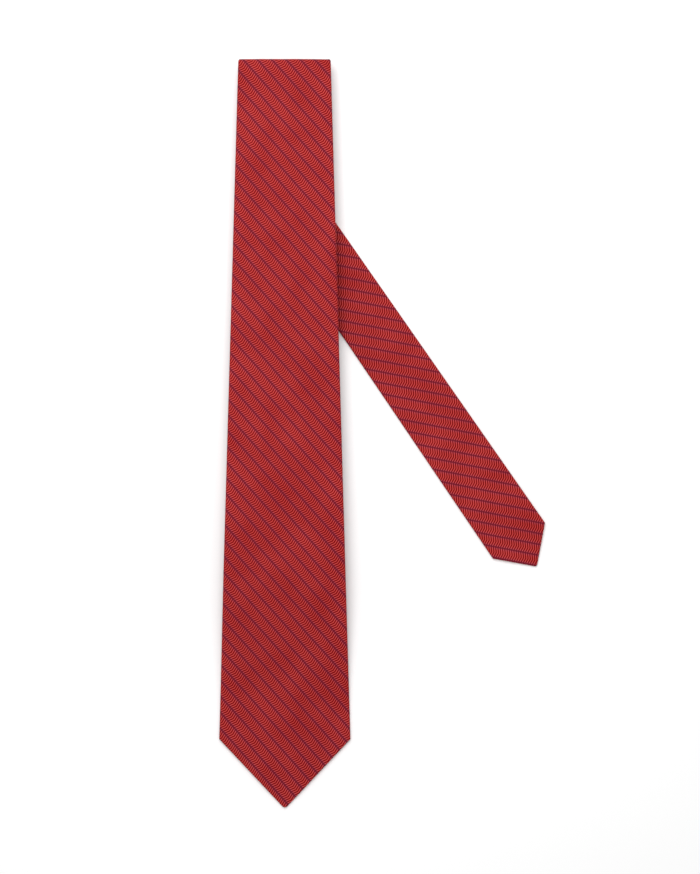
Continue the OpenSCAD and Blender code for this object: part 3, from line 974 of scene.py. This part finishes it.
HERRINGBONE_PITCH = 1.50                # from one herringbone thread to the next, along the stripe
HERRINGBONE_SLOPE = math.tan(math.radians(18))
STRIPE_HALF, STRIPE_SOFT = 0.50, 0.2    # half the width of a dark stripe, and how soft its edge is
WANDER = 0.35                           # how far the stripes stray from straight
PLY_PITCH = 0.42                        # the fine twill of the silk's single yarns
NEAR_STRIPE = 1.2                       # the red turns pinker from here to the stripe
PLY_SHARE, STRIPE_SHARE = 0.22, 0.92    # how strongly the twill and the stripes cover the red
LIT_FROM, LIT_TO = 0.1, 0.95            # how high on a thread its colour goes from painted shade to bright
HIGHLIGHT_FROM, HIGHLIGHT_TO = 0.45, 1.1        # and from bright to a painted highlight
PATCHY = 0.5                            # how much cloudy noise adds to that painted light and shade
SILK_RELIEF, PLY_RELIEF = 0.00012, 0.25

# The silk's colours between two stripes, then beside a stripe: a painted highlight where a thread
# catches the light, the thread's side, and painted shade in the gap between two threads, which is also
# the twill's dark fleck colour
RED_PAINTED_HIGHLIGHT = (0.560, 0.067, 0.064, 1)
RED_BRIGHT = (0.420, 0.009, 0.008, 1)
RED_SHADE_AND_FLECK = (0.148, 0.001, 0.001, 1)
PINK_PAINTED_HIGHLIGHT = (0.500, 0.083, 0.114, 1)
PINK_BRIGHT = (0.355, 0.023, 0.040, 1)
PINK_PAINTED_SHADE = (0.125, 0.002, 0.007, 1)
STRIPE_COLOUR = (0.140, 0.007, 0.018, 1)


def silk_material():
    """Herringbone silk with thin dark stripes, and painted shade and painted highlights on its
    threads; the cloth's coordinates are across and along them.
    """
    n = Nodes("striped_silk")
    across, along = n.cloth()
    wander = n.math("MULTIPLY", n.math("SUBTRACT", n.noise(60, 1), 0.5), WANDER)
    band = n.math("FRACT", n.math("DIVIDE", n.math("ADD", across, wander), STRIPE_PITCH))
    from_middle = n.math("MULTIPLY", n.math("ABSOLUTE", n.math("SUBTRACT", band, 0.5)), STRIPE_PITCH)
    stripe_edge = STRIPE_PITCH / 2 - STRIPE_HALF
    stripe = n.ramp(from_middle, stripe_edge - STRIPE_SOFT, stripe_edge + STRIPE_SOFT)
    arm = n.math("ADD", along, n.math("MULTIPLY", from_middle, HERRINGBONE_SLOPE))
    turn = n.math("MULTIPLY", n.math("DIVIDE", arm, HERRINGBONE_PITCH), 2 * math.pi)
    thread = n.wave(turn, "COSINE")
    ply = n.wave(n.math("MULTIPLY", n.math("ADD", across, along), 2 * math.pi / PLY_PITCH))
    near_stripe = n.ramp(from_middle, NEAR_STRIPE, STRIPE_PITCH / 2)
    patchy = n.noise(45, 3)
    # painted light: each thread is coloured darker in the gap beside it, brighter towards its top, and
    # has a painted highlight at its top, as well as its bump
    painted_light = n.math("MULTIPLY_ADD", n.math("SUBTRACT", patchy, 0.5), PATCHY,
                  n.ramp(thread, LIT_FROM, LIT_TO))
    painted_highlight = n.ramp(painted_light, HIGHLIGHT_FROM, HIGHLIGHT_TO)
    red = n.mix(painted_highlight, n.mix(painted_light, RED_SHADE_AND_FLECK, RED_BRIGHT), RED_PAINTED_HIGHLIGHT)
    pink = n.mix(painted_highlight, n.mix(painted_light, PINK_PAINTED_SHADE, PINK_BRIGHT), PINK_PAINTED_HIGHLIGHT)
    ground = n.mix(near_stripe, red, pink)
    flecked = n.mix(n.math("MULTIPLY", ply, PLY_SHARE), ground, RED_SHADE_AND_FLECK)
    colour = n.mix(n.math("MULTIPLY", stripe, STRIPE_SHARE), flecked, STRIPE_COLOUR)
    height = n.math("ADD", n.math("MULTIPLY", thread, n.math("SUBTRACT", 1.0, stripe)),
                    n.math("MULTIPLY", ply, PLY_RELIEF))
    return n.finish(colour, height, SILK_RELIEF, 0.7, Roughness=0.5, Sheen_Weight=0.02,
                    Sheen_Roughness=0.4, Sheen_Tint=(1.0, 0.25, 0.2, 1), Specular_IOR_Level=0.03)


def woven_material(name, light, dark, pitch, slope, roughness, sheen, relief):
    """A plain cloth with fine threads, pitch apart, at a slope to it."""
    n = Nodes(name)
    u, v = n.cloth()
    to_turn = 2 * math.pi / pitch
    warp = n.math("SINE", n.math("MULTIPLY", n.math("ADD", u, n.math("MULTIPLY", v, slope)), to_turn))
    weft = n.math("SINE", n.math("MULTIPLY", n.math("SUBTRACT", v, n.math("MULTIPLY", u, slope)),
                                 to_turn))
    weave = n.math("MULTIPLY_ADD", n.math("MULTIPLY", warp, weft), 0.5, 0.5)
    cloud = n.noise(90, 4)
    colour = n.mix(n.math("MULTIPLY_ADD", weave, 0.5, n.math("MULTIPLY", cloud, 0.5)), dark, light)
    return n.finish(colour, n.math("MULTIPLY_ADD", cloud, 0.6, weave), relief, 0.8,
                    Roughness=roughness, Sheen_Weight=sheen, Sheen_Roughness=0.4)


TWIST_PITCH, THREAD_RELIEF = 0.35, 0.00008
THREAD_DARK, THREAD_LIGHT = (0.10, 0.006, 0.012, 1), (0.26, 0.02, 0.035, 1)


def thread_material():
    """Twisted silk sewing thread."""
    n = Nodes("sewing_thread")
    u, v = n.cloth()
    twist = n.wave(n.math("MULTIPLY", n.math("ADD", u, v), 2 * math.pi / TWIST_PITCH))
    colour = n.mix(twist, THREAD_DARK, THREAD_LIGHT)
    return n.finish(colour, twist, THREAD_RELIEF, 0.8, Roughness=0.42, Sheen_Weight=0.3,
                    Sheen_Roughness=0.3)


# ---- Room ----

VIEW_HEIGHT = 566.4                     # how much of the floor the picture is high
VIEW_MIDDLE = (-20.8, -1.9)             # the picture's middle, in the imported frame
LENS, SENSOR = 150.0, 36.0
CLIP_END = 50                           # in metres, like the room's sizes below
FLOOR_SIZE, FLOOR_Z, FLOOR_RELIEF = 24, -0.0001, 0.00002
FLOOR_DARK, FLOOR_LIGHT = (0.92, 0.92, 0.92, 1), (0.94, 0.94, 0.94, 1)
ROOM_LIGHT = 0.71
KEY_PLACE, KEY_SIZE, KEY_POWER = (-0.15, 0.42, 0.85), 0.8, 6.6


def make_floor():
    """A plain pale floor, just under the tie."""
    n = Nodes("pale_floor")
    tone = n.mix(n.noise(2, 2), FLOOR_DARK, FLOOR_LIGHT)
    n.finish(tone, n.noise(300, 2), FLOOR_RELIEF, 0.2, Roughness=0.9, Specular_IOR_Level=0.0)
    bpy.ops.mesh.primitive_plane_add(size=FLOOR_SIZE, location=(0, 0, FLOOR_Z))
    floor = bpy.context.object
    floor.name = "floor"
    floor.data.materials.append(n.material)


def make_light():
    """Soft light from all round, and a key light from above the tie's upper left."""
    world = bpy.data.worlds.new("room")
    world.use_nodes = True
    background = world.node_tree.nodes["Background"]
    background.inputs["Color"].default_value = (1, 1, 1, 1)
    background.inputs["Strength"].default_value = ROOM_LIGHT
    bpy.context.scene.world = world
    key = bpy.data.objects.new("key", bpy.data.lights.new("key", "AREA"))
    key.data.shape, key.data.size, key.data.energy = "DISK", KEY_SIZE, KEY_POWER
    key.location = KEY_PLACE
    key.rotation_mode = "QUATERNION"
    key.rotation_quaternion = (-Vector(KEY_PLACE)).to_track_quat("-Z", "Y")
    bpy.context.scene.collection.objects.link(key)


def make_camera():
    """A camera that looks straight down."""
    camera = bpy.data.objects.new("camera", bpy.data.cameras.new("camera"))
    camera.data.lens, camera.data.sensor_width = LENS, SENSOR
    camera.location = (VIEW_MIDDLE[0] * MM, VIEW_MIDDLE[1] * MM, VIEW_HEIGHT * MM * LENS / SENSOR)
    camera.data.clip_end = CLIP_END
    bpy.context.scene.collection.objects.link(camera)
    bpy.context.scene.camera = camera


def build():
    """The room and every piece of the tie."""
    bpy.context.scene.view_settings.view_transform = "Standard"
    make_floor()
    make_light()
    make_camera()
    silk = silk_material()
    thread = thread_material()
    wool = woven_material("interlining_wool", (0.78, 0.72, 0.58, 1), (0.52, 0.47, 0.35, 1),
                          pitch=0.9, slope=0.0, roughness=0.95, sheen=0.5, relief=0.0003)
    satin = woven_material("tipping_satin", (0.34, 0.018, 0.03, 1), (0.17, 0.006, 0.012, 1),
                           pitch=0.35, slope=0.35, roughness=0.32, sheen=0.2, relief=0.00003)
    tape = woven_material("label_tape", (0.86, 0.84, 0.78, 1), (0.70, 0.67, 0.60, 1),
                          pitch=0.5, slope=0.0, roughness=0.7, sheen=0.2, relief=0.00006)
    make_silk(silk)
    make_wool(wool)
    make_tipping("blade_satin", "blade_tipping", 1, "blade", satin)
    make_tipping("tail_satin", "tail_tipping", 5, "tail", satin)
    make_seam("blade_neck_allowances", "blade_neck_seam", 2, BLADE_SEAM_S, -1, silk)
    make_seam("neck_tail_allowances", "neck_tail_seam", 3, TAIL_SEAM_S, 1, silk)
    make_threads(thread)
    make_keeper(silk, thread)
    make_label(tape)


build()
